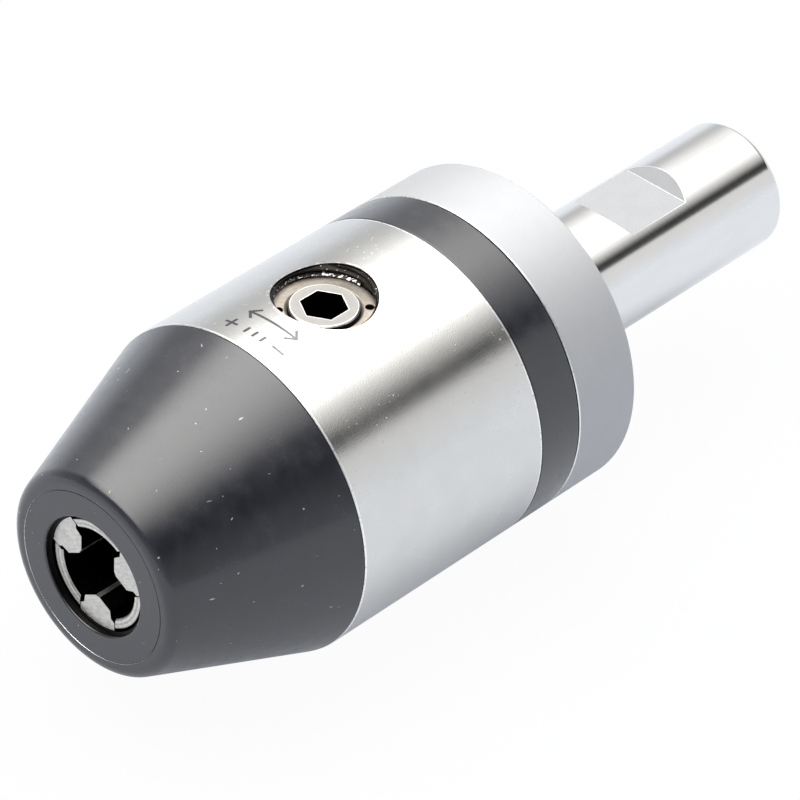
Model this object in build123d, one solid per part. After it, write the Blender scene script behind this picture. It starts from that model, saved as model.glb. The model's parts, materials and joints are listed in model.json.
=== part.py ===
"""Straight shank drill chuck: a hex key turns a bevel pinion, and a nut and spindle drive three jaws.

The chuck's axis is X. The origin is on that axis, in the shoulder face where the shank meets the
flange. The shank points along +X and the nose along -X. The pinion hole and the flat on the shank
point along +Z. All sizes are in millimetres.
"""
import os
from math import acos, atan2, cos, degrees, hypot, pi, radians, sin, tan

from build123d import *

# Outside of the housing, from the shoulder towards the nose
body_diameter = 50.0
flange_length = 11.8
lock_ring_length = 7.8
body_length = 35.6
nose_length = 27.15
nose_cone_angle = 19.8
nose_corner_radius = 2.0
edge_break = 0.2
flange_rear_chamfer = 0.4

# Shank with its clamping flat
shank_diameter = 20.0
shank_length = 50.0
shank_end_chamfer = 1.0
flat_height = 8.2
flat_length = 11.5
flat_centre = 26.4
flat_ramp_angle = 45.0
adapter_seam_turn = 22.5

# Jaws and the cone that closes them
grip_now = 7.76
grip_smallest = 1.0
grip_largest = 13.0
clamping_angle = 18.0
throat_radius = 8.65
mouth_radius = 9.1
mouth_depth = 0.9
mouth_chamfer = 0.2
jaw_recess = 1.1
jaw_count = 3
jaw_back_radius = 8.9
jaw_length = 19.65
land_width = 0.8
flank_width = 2.4
flank_angle = 60.0
waist_width = 2.6
waist_height = 1.3
shoulder_width = 3.25
shoulder_height = 0.45
jaw_width = 3.3

# Hooks that hold the jaws in the spindle head
neck_width = 1.4
neck_length = 2.3
hook_width = 2.4
hook_length = 2.3
hook_reach = 1.8

# Guide that keeps the jaws apart
guide_bore_radius = 6.85
guide_face_chamfer = 0.25
guide_cone_gap = 0.5
guide_shoulder = 8.95
guide_flange_thickness = 1.5

# Spindle
spindle_diameter = 16.0
spindle_head_radius = 10.2
spindle_head_thickness = 6.0
spindle_length = 51.5
spindle_chamfer = 0.8
keyway_width = 4.0
keyway_depth = 2.0

# Threaded joints of the housing, drawn at their nominal diameter, below these walls
nose_joint_wall = 2.75
lock_ring_wall = 5.0
partition_thickness = 2.2
hub_radius = 11.5
hub_length = 9.3
guide_key_height = 4.4
guide_key_length = 7.0

# Bevel pair
module = 1.0
pinion_teeth = 11
gear_teeth = 33
face_width = 4.5
pressure_angle = 20.0
pinion_addendum = 1.2
gear_addendum = 0.7
root_clearance = 0.2
backlash = 0.2
profile_shift = 0.3

# Pinion above its teeth, behind the body's front, with heights from the chuck's axis
pinion_setback = 17.0
key_size = 6.0
key_depth = 6.0
pinion_head_radius = 5.0
pinion_face_height = 22.85
pinion_flange_radius = 6.7
pinion_flange_thickness = 1.6
pinion_spigot_radius = 2.0
pinion_spigot_end = 9.6

# Ring that keeps the pinion in
well_radius = 7.5
well_chamfer = 0.3
retainer_face_height = 22.3
retainer_thickness = 2.0
retainer_bore_chamfer = 0.4
spanner_hole_radius = 0.65
spanner_hole_circle = 6.3
spanner_hole_depth = 1.4
spanner_hole_angle = 139.0
pinion_washer_thickness = 0.4

# Gear behind its teeth, with the bearing that takes the clamping force
gear_boss_radius = 10.9
gear_hub_radius = 12.0
gear_rim_radius = 16.9
gear_rim_thickness = 3.9
front_washer_thickness = 0.8
gear_rim_gap = 0.3
bearing_inner_radius = 12.25
bearing_outer_radius = 16.6
bearing_washer_thickness = 1.0
needle_radius = 1.0
needle_length = 3.2
needle_count = 14
cage_thickness = 1.4
bush_wall = 1.5
bush_length = 8.4

# Adapter inside
cup_depth = 5.0
tail_bore_radius = 8.6
tail_clearance = 0.5

# Seals, and the land beside each groove
seal_radius = 0.8
seal_land = 1.0

# Clearances
running_fit = 0.05
thread_fit = 0.05
slide_gap = 0.1
axial_gap = 0.1

# Places along X and radii that follow from the sizes above
body_radius = body_diameter / 2
shank_radius = shank_diameter / 2
spindle_radius = spindle_diameter / 2
nose_thread_radius = body_radius - nose_joint_wall
rear_thread_radius = body_radius - lock_ring_wall
gear_space_radius = gear_rim_radius + gear_rim_gap
flange_front = -flange_length
lock_ring_front = flange_front - lock_ring_length
body_front = lock_ring_front - body_length
nose_front = body_front - nose_length
cone_slope = tan(radians(clamping_angle))
cone_start = nose_front + mouth_depth
jaw_front = nose_front + jaw_recess
jaw_shoulder = jaw_front + jaw_length
head_front = jaw_shoulder + axial_gap
head_rear = head_front + spindle_head_thickness
closing_travel = (grip_now - grip_smallest) / 2 / cone_slope
opening_travel = (grip_largest - grip_now) / 2 / cone_slope
hook_rear = jaw_shoulder + neck_length + hook_length
partition_front = head_rear + opening_travel + 3 * axial_gap
partition_rear = partition_front + partition_thickness
guide_flange_front = partition_front - guide_flange_thickness
hub_rear = partition_rear + hub_length
spindle_tail = head_front + spindle_length
gear_apex = body_front + pinion_setback
pinion_pitch_radius = module * pinion_teeth / 2
gear_pitch_radius = module * gear_teeth / 2
pinion_angle = atan2(pinion_teeth, gear_teeth)
gear_angle = pi / 2 - pinion_angle
cone_distance = hypot(pinion_pitch_radius, gear_pitch_radius)
gear_dedendum = pinion_addendum + root_clearance
pinion_dedendum = gear_addendum + root_clearance
gear_boss_front = hub_rear + front_washer_thickness + axial_gap
well_floor = retainer_face_height - retainer_thickness - pinion_washer_thickness
pinion_flange_top = well_floor - axial_gap


def cone_radius(x):
    """Return the radius of the nose's clamping cone at x."""
    return throat_radius + (x - cone_start) * cone_slope


def turned(*outline):
    """Return what a half outline of (x, radius) points makes when it turns about X."""
    return revolve(make_face(Polyline(*outline, close=True)), Axis.X)


def ring(front, rear, outer, inner):
    """Return a plain ring about X."""
    return turned((front, inner), (front, outer), (rear, outer), (rear, inner))


def upright(low, high, radius):
    """Return a cylinder on the pinion's axis, between two heights."""
    return Pos(gear_apex, 0, low) * extrude(Circle(radius), high - low)


def block(x_low, x_high, half_width, z_low, z_high):
    """Return a box that is centred on the XZ plane."""
    size = (x_high - x_low, 2 * half_width, z_high - z_low)
    return Pos((x_low + x_high) / 2, 0, (z_low + z_high) / 2) * Box(*size)


def around_axis(piece, count, first=0.0):
    """Return copies of a piece, evenly spaced about X."""
    return [Rot(first + 360 / count * i, 0, 0) * piece for i in range(count)]


def adapter():
    """Shank, flange and the threaded cup that seats the thrust bearing, in one piece."""
    cup_front = bearing_seat() - cup_depth
    bush_radius = gear_hub_radius + running_fit + bush_wall + running_fit
    bush_floor = bearing_seat() + bush_length + axial_gap
    bore_end = spindle_tail + opening_travel + tail_clearance
    thread = rear_thread_radius - thread_fit
    solid = Rot(adapter_seam_turn, 0, 0) * turned(
        (cup_front, gear_space_radius),
        (cup_front, thread),
        (flange_front, thread),
        (flange_front, body_radius - edge_break),
        (flange_front + edge_break, body_radius),
        (-flange_rear_chamfer, body_radius),
        (0, body_radius - flange_rear_chamfer),
        (0, shank_radius),
        (shank_length - shank_end_chamfer, shank_radius),
        (shank_length, shank_radius - shank_end_chamfer),
        (shank_length, 0),
        (bore_end, 0),
        (bore_end, tail_bore_radius),
        (bush_floor, tail_bore_radius),
        (bush_floor, bush_radius),
        (bearing_seat(), bush_radius),
        (bearing_seat(), gear_space_radius),
    )
    return solid - shank_flat_cutter() - seal_groove(rear_seal_front(), thread)


def shank_flat_cutter():
    """Return what is milled off the shank: a flat with a ramp at each end."""
    depth = shank_radius - flat_height + 1
    run = depth / tan(radians(flat_ramp_angle))
    start = flat_centre - flat_length / 2
    end = flat_centre + flat_length / 2
    side = Polyline(
        (start, flat_height),
        (end, flat_height),
        (end + run, flat_height + depth),
        (start - run, flat_height + depth),
        close=True,
    )
    return extrude(Plane.XZ * make_face(side), shank_radius, both=True)


def lock_ring():
    """Dark ring that jams against the body on the adapter's thread."""
    bevel = edge_break
    return turned(
        (lock_ring_front, rear_thread_radius),
        (lock_ring_front, body_radius - bevel),
        (lock_ring_front + bevel, body_radius),
        (flange_front - bevel, body_radius),
        (flange_front, body_radius - bevel),
        (flange_front, rear_thread_radius),
    )


def body():
    """Ground cylinder that carries the hub for the spindle and the well for the pinion."""
    cup_front = bearing_seat() - cup_depth - axial_gap
    bore = spindle_radius + running_fit
    solid = turned(
        (body_front, nose_thread_radius),
        (body_front, body_radius - edge_break),
        (body_front + edge_break, body_radius),
        (lock_ring_front - edge_break, body_radius),
        (lock_ring_front, body_radius - edge_break),
        (lock_ring_front, rear_thread_radius),
        (cup_front, rear_thread_radius),
        (cup_front, gear_space_radius),
        (partition_rear, gear_space_radius),
        (partition_rear, hub_radius),
        (hub_rear, hub_radius),
        (hub_rear, bore),
        (partition_front, bore),
        (partition_front, nose_thread_radius),
    )
    well = upright(well_floor, body_radius + 1, well_radius)
    bearing = upright(hub_radius + 1, well_floor, pinion_flange_radius + slide_gap)
    spigot = upright(pinion_spigot_end - axial_gap, hub_radius + 1, pinion_spigot_radius + running_fit)
    solid = solid - well - bearing - spigot - guide_key_space(thread_fit / 2)
    rim = solid.edges().filter_by(lambda e: on_well_rim(e))
    return chamfer(rim, well_chamfer)


def on_well_rim(edge):
    """Say whether an edge of the body is the outer rim of the pinion's well."""
    lowest = body_radius - well_radius ** 2 / body_radius
    middle = edge.center(CenterOf.BOUNDING_BOX)
    close = hypot(middle.X - gear_apex, middle.Y) < well_radius
    return close and edge.bounding_box().min.Z > lowest


def guide_key_space(gap):
    """Return the guide key's block, grown by a gap."""
    start = partition_front + 1
    top = spindle_radius - keyway_depth + slide_gap
    return block(
        start - gap,
        start + guide_key_length + gap,
        keyway_width / 2 + gap,
        -top - guide_key_height - gap,
        -top + gap,
    )


def guide_key():
    """Key in the body's hub that lets the spindle slide but not turn."""
    return guide_key_space(0)


def nose_cone():
    """Dark nose with the clamping cone inside and the thread that screws into the body."""
    thread = nose_thread_radius - thread_fit
    rise = nose_length * tan(radians(nose_cone_angle))
    corner = (nose_front, body_radius - rise)
    outline = make_face(
        Polyline(
            (nose_front + mouth_chamfer, mouth_radius),
            (nose_front, mouth_radius + mouth_chamfer),
            corner,
            (body_front - edge_break, body_radius - edge_break * tan(radians(nose_cone_angle))),
            (body_front, body_radius - edge_break),
            (body_front, thread),
            (guide_flange_front, thread),
            (guide_flange_front, cone_radius(guide_flange_front)),
            (cone_start, throat_radius),
            (cone_start, mouth_radius),
            close=True,
        )
    )
    corner_vertex = outline.vertices().sort_by_distance((*corner, 0))[0]
    solid = revolve(fillet(corner_vertex, nose_corner_radius), Axis.X)
    return solid - seal_groove(nose_seal_front(), thread)


def nose_seal_front():
    """Return the x where the groove of the nose's seal starts."""
    return body_front + seal_land


def rear_seal_front():
    """Return the x where the groove of the adapter's seal starts."""
    return lock_ring_front - seal_land - 2 * seal_radius


def seal_groove(front, outside):
    """Return the space of a seal's groove below an outside radius."""
    return ring(front, front + 2 * seal_radius, outside + 1, outside - 2 * seal_radius)


def seal_ring(front, bore):
    """Return a round seal in the groove that starts at front, just inside a bore."""
    section = Circle(seal_radius - thread_fit / 2)
    return revolve(Pos(front + seal_radius, bore - thread_fit - seal_radius) * section, Axis.X)


def jaw_guide():
    """Three fingers on one flange that keep the jaws apart and let them slide on the cone."""
    step = jaw_front + guide_shoulder
    bore = spindle_head_radius + slide_gap
    solid = turned(
        (jaw_front, guide_bore_radius + guide_face_chamfer),
        (jaw_front, cone_radius(jaw_front) - guide_cone_gap),
        (guide_flange_front, cone_radius(guide_flange_front) - guide_cone_gap),
        (guide_flange_front, nose_thread_radius - slide_gap),
        (partition_front, nose_thread_radius - slide_gap),
        (partition_front, bore),
        (step, bore),
        (step, guide_bore_radius),
        (jaw_front + guide_face_chamfer, guide_bore_radius),
    )
    slot_rear = hook_rear + opening_travel + 2 * axial_gap
    slot = block(jaw_front - 1, slot_rear, jaw_width + slide_gap, 0, body_radius)
    for cutter in around_axis(slot, jaw_count, 180 / jaw_count):
        solid -= cutter
    return solid


def jaw():
    """One jaw that points along +Z, with its hook for the spindle head."""
    land = grip_now / 2
    flank = (flank_width - land_width / 2) / tan(radians(flank_angle))
    waist = land + flank + waist_height
    shoulder = waist + shoulder_height
    right = [
        (land_width / 2, land),
        (flank_width, land + flank),
        (waist_width, waist),
        (shoulder_width, shoulder),
        (jaw_width, body_radius),
    ]
    left = [(-width, height) for width, height in reversed(right)]
    section = Plane.YZ.offset(jaw_front) * make_face(Polyline(*right, *left, close=True))
    solid = extrude(section, hook_rear - jaw_front) & jaw_back()
    foot = hook_foot_radius()
    solid -= block(jaw_shoulder, hook_rear, jaw_width + 1, 0, foot)
    for side in (-1, 1):
        for start, end, width in hook_steps():
            cut = Box(end - start, jaw_width + 1 - width, body_radius)
            middle = side * (width + (jaw_width + 1 - width) / 2)
            solid -= Pos((start + end) / 2, middle, foot + body_radius / 2) * cut
    return solid


def hook_steps():
    """Return where the neck and the hook start and end along X, with each one's half width."""
    neck_end = jaw_shoulder + neck_length
    return (jaw_shoulder, neck_end, neck_width), (neck_end, hook_rear, hook_width)


def hook_foot_radius():
    """Return the inner end of the hook as the jaws stand now."""
    return hook_reach + (grip_now - grip_smallest) / 2


def jaw_back():
    """Return the round bar, tilted by the clamping angle, whose outside is the jaw's back."""
    tilt = radians(clamping_angle)
    along = Vector(cos(tilt), 0, sin(tilt))
    outward = Vector(-sin(tilt), 0, cos(tilt))
    touch = Vector(jaw_front, 0, cone_radius(jaw_front) - slide_gap)
    base = Plane(origin=touch - outward * jaw_back_radius, x_dir=(0, 1, 0), z_dir=along)
    return extrude(base * Circle(jaw_back_radius), 2 * jaw_length, both=True)


def spindle():
    """Threaded spindle with the slotted head that pulls the jaws."""
    solid = turned(
        (head_front, 0),
        (head_front, spindle_head_radius - edge_break),
        (head_front + edge_break, spindle_head_radius),
        (head_rear, spindle_head_radius),
        (head_rear, spindle_radius),
        (spindle_tail - spindle_chamfer, spindle_radius),
        (spindle_tail, spindle_radius - spindle_chamfer),
        (spindle_tail, 0),
    )
    for start, end, width in hook_steps():
        low = start - 2 * axial_gap if start == jaw_shoulder else start - axial_gap
        slot = block(low, end + axial_gap, width + slide_gap, hook_reach - slide_gap, body_radius)
        for cutter in around_axis(slot, jaw_count, 180 / jaw_count):
            solid -= cutter
    key_start = partition_front + 1
    keyway = block(
        key_start - opening_travel - 1,
        key_start + guide_key_length + closing_travel + 1,
        keyway_width / 2 + running_fit,
        -spindle_radius - 1,
        -spindle_radius + keyway_depth,
    )
    return solid - keyway


def pinion_flank():
    """Return half of a pinion tooth's outline at its large end, from below the root to the tip."""
    pitch = pinion_pitch_radius / cos(pinion_angle)
    base = pitch * cos(radians(pressure_angle))
    thickness = pi * module / 2 + 2 * profile_shift * module * tan(radians(pressure_angle)) - backlash / 2
    at_base = thickness / 2 / pitch + involute(radians(pressure_angle))
    buried = pitch - pinion_dedendum * module - 2 * root_clearance
    points = [(buried * sin(at_base), buried * cos(at_base) - pitch)]
    tip = pitch + pinion_addendum * module
    steps = 3
    for i in range(steps + 1):
        radius = base + (tip - base) * i / steps
        half = at_base - involute(acos(base / radius))
        points.append((radius * sin(half), radius * cos(half) - pitch))
    return points


def gear_flank():
    """Return half of a gear tooth's outline at its large end: straight, as on a rack."""
    slope = tan(radians(pressure_angle))
    thickness = pi * module / 2 - 2 * profile_shift * module * slope - backlash / 2
    low = -(gear_dedendum + 2 * root_clearance) * module
    high = gear_addendum * module
    return [(thickness / 2 - low * slope, low), (thickness / 2 - high * slope, high)]


def involute(angle):
    """Return the involute function of an angle in radians."""
    return tan(angle) - angle


def bevel_tooth(flank, side):
    """Return one straight bevel tooth whose edges all run to the apex where both axes meet."""
    along = Vector(sin(pinion_angle), 0, cos(pinion_angle))
    ends = []
    for distance in (cone_distance, cone_distance - face_width):
        scale = distance / cone_distance
        right = [(u * scale, v * scale) for u, v in flank]
        left = [(-u, v) for u, v in reversed(right)]
        plane = Plane(origin=Vector(gear_apex, 0, 0) + along * distance, x_dir=(0, side, 0), z_dir=along)
        ends.append(plane * make_face(Polyline(*right, *left, close=True)))
    return loft(ends, ruled=True)


def on_gear(distance, height):
    """Return x and radius on the gear, at a distance from the apex and a height off its pitch cone."""
    height = height * module * distance / cone_distance
    x = gear_apex + distance * cos(gear_angle) - height * sin(gear_angle)
    return x, distance * sin(gear_angle) + height * cos(gear_angle)


def bevel_gear():
    """Bevel gear whose threaded hub is the nut on the spindle."""
    root_outer = on_gear(cone_distance, -gear_dedendum)
    root_inner = on_gear(cone_distance - face_width, -gear_dedendum)
    bore = spindle_radius + running_fit
    rear = gear_rear()
    hub_end = bearing_seat() + bush_length - axial_gap
    solid = turned(
        (gear_boss_front, bore),
        (gear_boss_front, gear_boss_radius),
        (root_inner[0], gear_boss_radius),
        root_inner,
        root_outer,
        (root_outer[0] + edge_break, gear_rim_radius),
        (rear - edge_break, gear_rim_radius),
        (rear, gear_rim_radius - edge_break),
        (rear, gear_hub_radius),
        (hub_end, gear_hub_radius),
        (hub_end, bore),
    )
    tooth = bevel_tooth(gear_flank(), 1)
    return solid + around_axis(tooth, gear_teeth, 180 / gear_teeth)


def gear_rear():
    """Return the x of the gear's rear face, which bears on the thrust bearing."""
    return on_gear(cone_distance, -gear_dedendum)[0] + gear_rim_thickness


def bearing_seat():
    """Return the x of the adapter's face behind the thrust bearing."""
    return gear_rear() + 2 * bearing_washer_thickness + 2 * needle_radius


def bevel_pinion():
    """Pinion with its key socket, retaining flange and the spigot that turns in the hub."""
    flange_low = pinion_flange_top - pinion_flange_thickness
    root = []
    for distance in (cone_distance - face_width, cone_distance):
        depth = pinion_dedendum * module * distance / cone_distance
        radius = distance * sin(pinion_angle) - depth * cos(pinion_angle)
        root.append((radius, distance * cos(pinion_angle) + depth * sin(pinion_angle)))
    head_top = pinion_face_height
    outline = Polyline(
        (0, pinion_spigot_end),
        (pinion_spigot_radius, pinion_spigot_end),
        (pinion_spigot_radius, root[0][1]),
        *root,
        (root[1][0], flange_low),
        (pinion_flange_radius, flange_low),
        (pinion_flange_radius, pinion_flange_top),
        (pinion_head_radius, pinion_flange_top),
        (pinion_head_radius, head_top - edge_break),
        (pinion_head_radius - edge_break, head_top),
        (0, head_top),
        close=True,
    )
    solid = Pos(gear_apex, 0, 0) * revolve(Plane.XZ * make_face(outline), Axis.Z)
    tooth = bevel_tooth(pinion_flank(), -1)
    axis = Axis((gear_apex, 0, 0), (0, 0, 1))
    solid += [tooth.rotate(axis, 360 / pinion_teeth * i) for i in range(pinion_teeth)]
    hexagon = RegularPolygon(key_size / 2, 6, major_radius=False)
    socket = extrude(corner_on_x(hexagon), key_depth + 1)
    return solid - Pos(gear_apex, 0, pinion_face_height - key_depth) * socket


def corner_on_x(hexagon):
    """Turn a hexagon so that one corner lies on the X axis."""
    corner = hexagon.vertices()[0]
    return Rot(0, 0, -degrees(atan2(corner.Y, corner.X))) * hexagon


def pinion_retainer():
    """Threaded ring with two spanner holes that keeps the pinion in its well."""
    low = retainer_face_height - retainer_thickness
    outer = upright(low, retainer_face_height, well_radius - slide_gap)
    solid = outer - upright(low, retainer_face_height, pinion_head_radius + slide_gap)
    mouth = solid.edges().filter_by(GeomType.CIRCLE).sort_by(Axis.Z)[-2:].sort_by(SortBy.RADIUS)[0]
    solid = chamfer(mouth, retainer_bore_chamfer)
    for turn in (spanner_hole_angle, spanner_hole_angle + 180):
        x = spanner_hole_circle * cos(radians(turn))
        y = spanner_hole_circle * sin(radians(turn))
        solid -= Pos(x, y, 0) * upright(
            retainer_face_height - spanner_hole_depth, retainer_face_height, spanner_hole_radius
        )
    return solid


def pinion_washer():
    """Bronze washer between the pinion's flange and the retaining ring."""
    outer = upright(well_floor, well_floor + pinion_washer_thickness, well_radius - slide_gap)
    return outer - upright(well_floor, well_floor + 1, pinion_head_radius + slide_gap)


def gear_front_washer():
    """Bronze washer between the body's hub and the gear, for when the chuck opens."""
    return ring(hub_rear, hub_rear + front_washer_thickness, gear_boss_radius, spindle_radius + slide_gap)


def bearing_washer(front):
    """Hardened washer of the thrust bearing."""
    return ring(front, front + bearing_washer_thickness, bearing_outer_radius, bearing_inner_radius)


def needle_centre():
    """Return the x of the needles' centre and the radius of their middle."""
    x = gear_rear() + bearing_washer_thickness + needle_radius
    return x, (bearing_inner_radius + bearing_outer_radius) / 2


def needle(radius, length):
    """Return one needle that points along +Z, or the space for it."""
    x, middle = needle_centre()
    return Pos(x, 0, middle - length / 2) * extrude(Circle(radius), length)


def needle_cage():
    """Thin ring that keeps the needles apart."""
    x = needle_centre()[0]
    rim = 3 * axial_gap / 2
    solid = ring(
        x - cage_thickness / 2, x + cage_thickness / 2, bearing_outer_radius - rim, bearing_inner_radius + rim
    )
    pocket = needle(needle_radius, needle_length + axial_gap)
    for cutter in around_axis(pocket, needle_count):
        solid -= cutter
    return solid


def needle_rollers():
    """All the needles of the thrust bearing, as separate solids."""
    roller = needle(needle_radius - running_fit / 2, needle_length)
    return Compound(children=around_axis(roller, needle_count))


def gear_bush():
    """Bronze bush in the adapter that the gear's hub turns in."""
    inner = gear_hub_radius + running_fit
    return ring(bearing_seat(), bearing_seat() + bush_length, inner + bush_wall, inner)


def build():
    """Return every piece by its node name."""
    pieces = {
        "adapter": adapter(),
        "lock_ring": lock_ring(),
        "body": body(),
        "nose_cone": nose_cone(),
        "nose_seal": seal_ring(nose_seal_front(), nose_thread_radius),
        "rear_seal": seal_ring(rear_seal_front(), rear_thread_radius),
        "jaw_guide": jaw_guide(),
        "spindle": spindle(),
        "guide_key": guide_key(),
        "bevel_gear": bevel_gear(),
        "bevel_pinion": bevel_pinion(),
        "pinion_retainer": pinion_retainer(),
        "pinion_washer": pinion_washer(),
        "gear_front_washer": gear_front_washer(),
        "bearing_washer_front": bearing_washer(gear_rear()),
        "bearing_washer_rear": bearing_washer(bearing_seat() - bearing_washer_thickness),
        "needle_cage": needle_cage(),
        "needle_rollers": needle_rollers(),
        "gear_bush": gear_bush(),
    }
    for number, copy in enumerate(around_axis(jaw(), jaw_count, 180 / jaw_count), start=1):
        pieces[f"jaw_{number}"] = copy
    return pieces


os.makedirs("parts", exist_ok=True)
for name, piece in build().items():
    export_step(piece, f"parts/{name}.step")
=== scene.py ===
"""Looks of a straight shank drill chuck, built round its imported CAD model."""
import json
from math import cos, hypot, pi, radians, sin, tan

import bmesh
import bpy
from mathutils import Matrix, Vector

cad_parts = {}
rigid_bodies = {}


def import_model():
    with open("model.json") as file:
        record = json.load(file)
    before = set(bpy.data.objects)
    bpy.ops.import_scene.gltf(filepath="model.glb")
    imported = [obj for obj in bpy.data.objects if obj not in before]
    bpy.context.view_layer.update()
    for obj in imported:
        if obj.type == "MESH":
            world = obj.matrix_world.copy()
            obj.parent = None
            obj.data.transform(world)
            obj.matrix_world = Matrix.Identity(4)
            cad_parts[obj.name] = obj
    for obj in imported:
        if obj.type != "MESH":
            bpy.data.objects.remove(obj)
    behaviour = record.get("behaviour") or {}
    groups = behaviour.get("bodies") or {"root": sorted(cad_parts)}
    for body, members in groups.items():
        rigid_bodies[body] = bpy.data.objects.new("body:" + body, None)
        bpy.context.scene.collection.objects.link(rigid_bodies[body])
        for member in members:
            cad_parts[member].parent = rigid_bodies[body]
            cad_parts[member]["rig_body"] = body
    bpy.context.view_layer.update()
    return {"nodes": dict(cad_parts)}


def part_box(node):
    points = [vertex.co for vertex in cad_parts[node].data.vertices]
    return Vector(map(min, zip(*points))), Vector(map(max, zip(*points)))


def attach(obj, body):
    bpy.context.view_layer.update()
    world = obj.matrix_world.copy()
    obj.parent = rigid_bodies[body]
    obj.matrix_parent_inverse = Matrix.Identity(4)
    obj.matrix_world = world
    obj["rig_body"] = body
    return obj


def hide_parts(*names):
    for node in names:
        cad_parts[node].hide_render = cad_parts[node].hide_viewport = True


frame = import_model()

bl_info = {
    "name": "Straight shank drill chuck",
    "version": (1, 0, 0),
    "blender": (4, 5, 0),
    "location": "View3D > Sidebar > Chuck",
    "description": "Finishes the housing, jaws, key well, markings and studio of a drill chuck",
    "category": "Add Mesh",
}

MM = 0.001


def ends(node, axis="x"):
    """Return where a CAD node starts and ends along an axis, in metres."""
    return [getattr(corner, axis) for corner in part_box(node)]


# Places that the CAD model gives
NOSE_FRONT, NOSE_REAR = ends("nose_cone")
BODY_FRONT, BODY_REAR = ends("body")
CUP_FRONT, SHANK_END = ends("adapter")
RING_REAR = ends("lock_ring")[1]
JAW_FRONT, PARTITION_FRONT = ends("jaw_guide")
HUB_REAR = ends("gear_front_washer")[0]
BEARING_SEAT, BUSH_END = ends("gear_bush")
WELL_X = sum(ends("bevel_pinion")) / 2
HOUSING_RADIUS = ends("body", "z")[1]
WELL_FLOOR = ends("pinion_washer", "z")[0]
RETAINER_FACE = ends("pinion_retainer", "z")[1]
PINION_FACE = ends("bevel_pinion", "z")[1]

# Sizes inside the housing, as in the CAD model, with a little room for the pieces in it
BUSH_RADIUS = ends("gear_bush", "z")[1] + 0.05 * MM
TAIL_BORE_END = -1.436 * MM
GEAR_SPACE = 17.2 * MM
SEAL_LAND = 1.0 * MM
SEAL_GROOVE = 1.6 * MM
REAR_JOINT_WALL = 5 * MM

# The outside of a turned wall, just inside the CAD model's box
TURNED_RADIUS = HOUSING_RADIUS - 0.01 * MM


def linear(code):
    """Turn an sRGB hex colour into linear red, green and blue."""
    parts = [int(code[i:i + 2], 16) / 255 for i in (1, 3, 5)]
    return [p / 12.92 if p <= 0.04045 else ((p + 0.055) / 1.055) ** 2.4 for p in parts]


def length_property(name, description, default):
    """Return a length for the sidebar, given in millimetres and kept in metres."""
    return bpy.props.FloatProperty(
        name=name, description=description, default=default * MM, min=0.0, precision=5, unit="LENGTH"
    )


def angle_property(name, description, default):
    """Return an angle for the sidebar, given in degrees."""
    return bpy.props.FloatProperty(
        name=name, description=description, default=radians(default), subtype="ANGLE"
    )


def colour_property(name, description, code):
    """Return a colour for the sidebar from its sRGB hex value."""
    return bpy.props.FloatVectorProperty(
        name=name, description=description, default=linear(code), min=0.0, max=1.0, subtype="COLOR"
    )


class ChuckSizes(bpy.types.PropertyGroup):
    """Sizes of the finished surfaces."""

    edge_round: length_property("Nose edge rounding", "Rounding of the nose's outer edges", 0.16)
    small_edge_round: length_property("Jaw edge rounding", "Rounding of the jaws and their guide", 0.06)
    nose_corner: length_property("Nose corner radius", "Radius between the nose's face and its cone", 2.0)
    nose_cone_angle: angle_property("Nose cone angle", "Slope of the nose's outside", 19.8)
    clamping_angle: angle_property("Clamping angle", "Slope of the cone the jaws slide on", 18)
    face_groove: length_property("Face groove radius", "Radius of the fine groove on the nose's face", 13.05)
    mouth_radius: length_property("Mouth radius", "Radius of the nose's mouth", 9.1)
    mouth_depth: length_property("Mouth depth", "Depth of the mouth in front of the clamping cone", 0.9)
    throat_radius: length_property("Throat radius", "Radius where the clamping cone starts", 8.65)
    well_radius: length_property("Key well radius", "Radius of the hole for the key", 7.5)
    thread_pitch: length_property("Well thread pitch", "Pitch of the thread in the key well", 1.0)
    thread_depth: length_property("Well thread depth", "Height of the thread in the key well", 0.5)
    shank_radius: length_property("Shank radius", "Radius of the straight shank", 10.0)
    shank_round: length_property("Shank end rounding", "Radius at the shank's free end", 1.0)
    flat_height: length_property("Flat height", "Height of the clamping flat above the axis", 8.2)
    flat_length: length_property("Flat length", "Length of the clamping flat", 11.5)
    flat_centre: length_property("Flat centre", "Distance of the flat's middle from the shoulder", 26.4)
    seam_gap: length_property("Seam gap", "Gap between the lock ring and the flange", 0.2)
    mark_width: length_property("Mark line width", "Width of the laser marked lines", 0.42)
    turned_steps: bpy.props.IntProperty(
        name="Turned steps", description="Facets round a turned piece", default=192, min=48, max=360
    )


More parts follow.
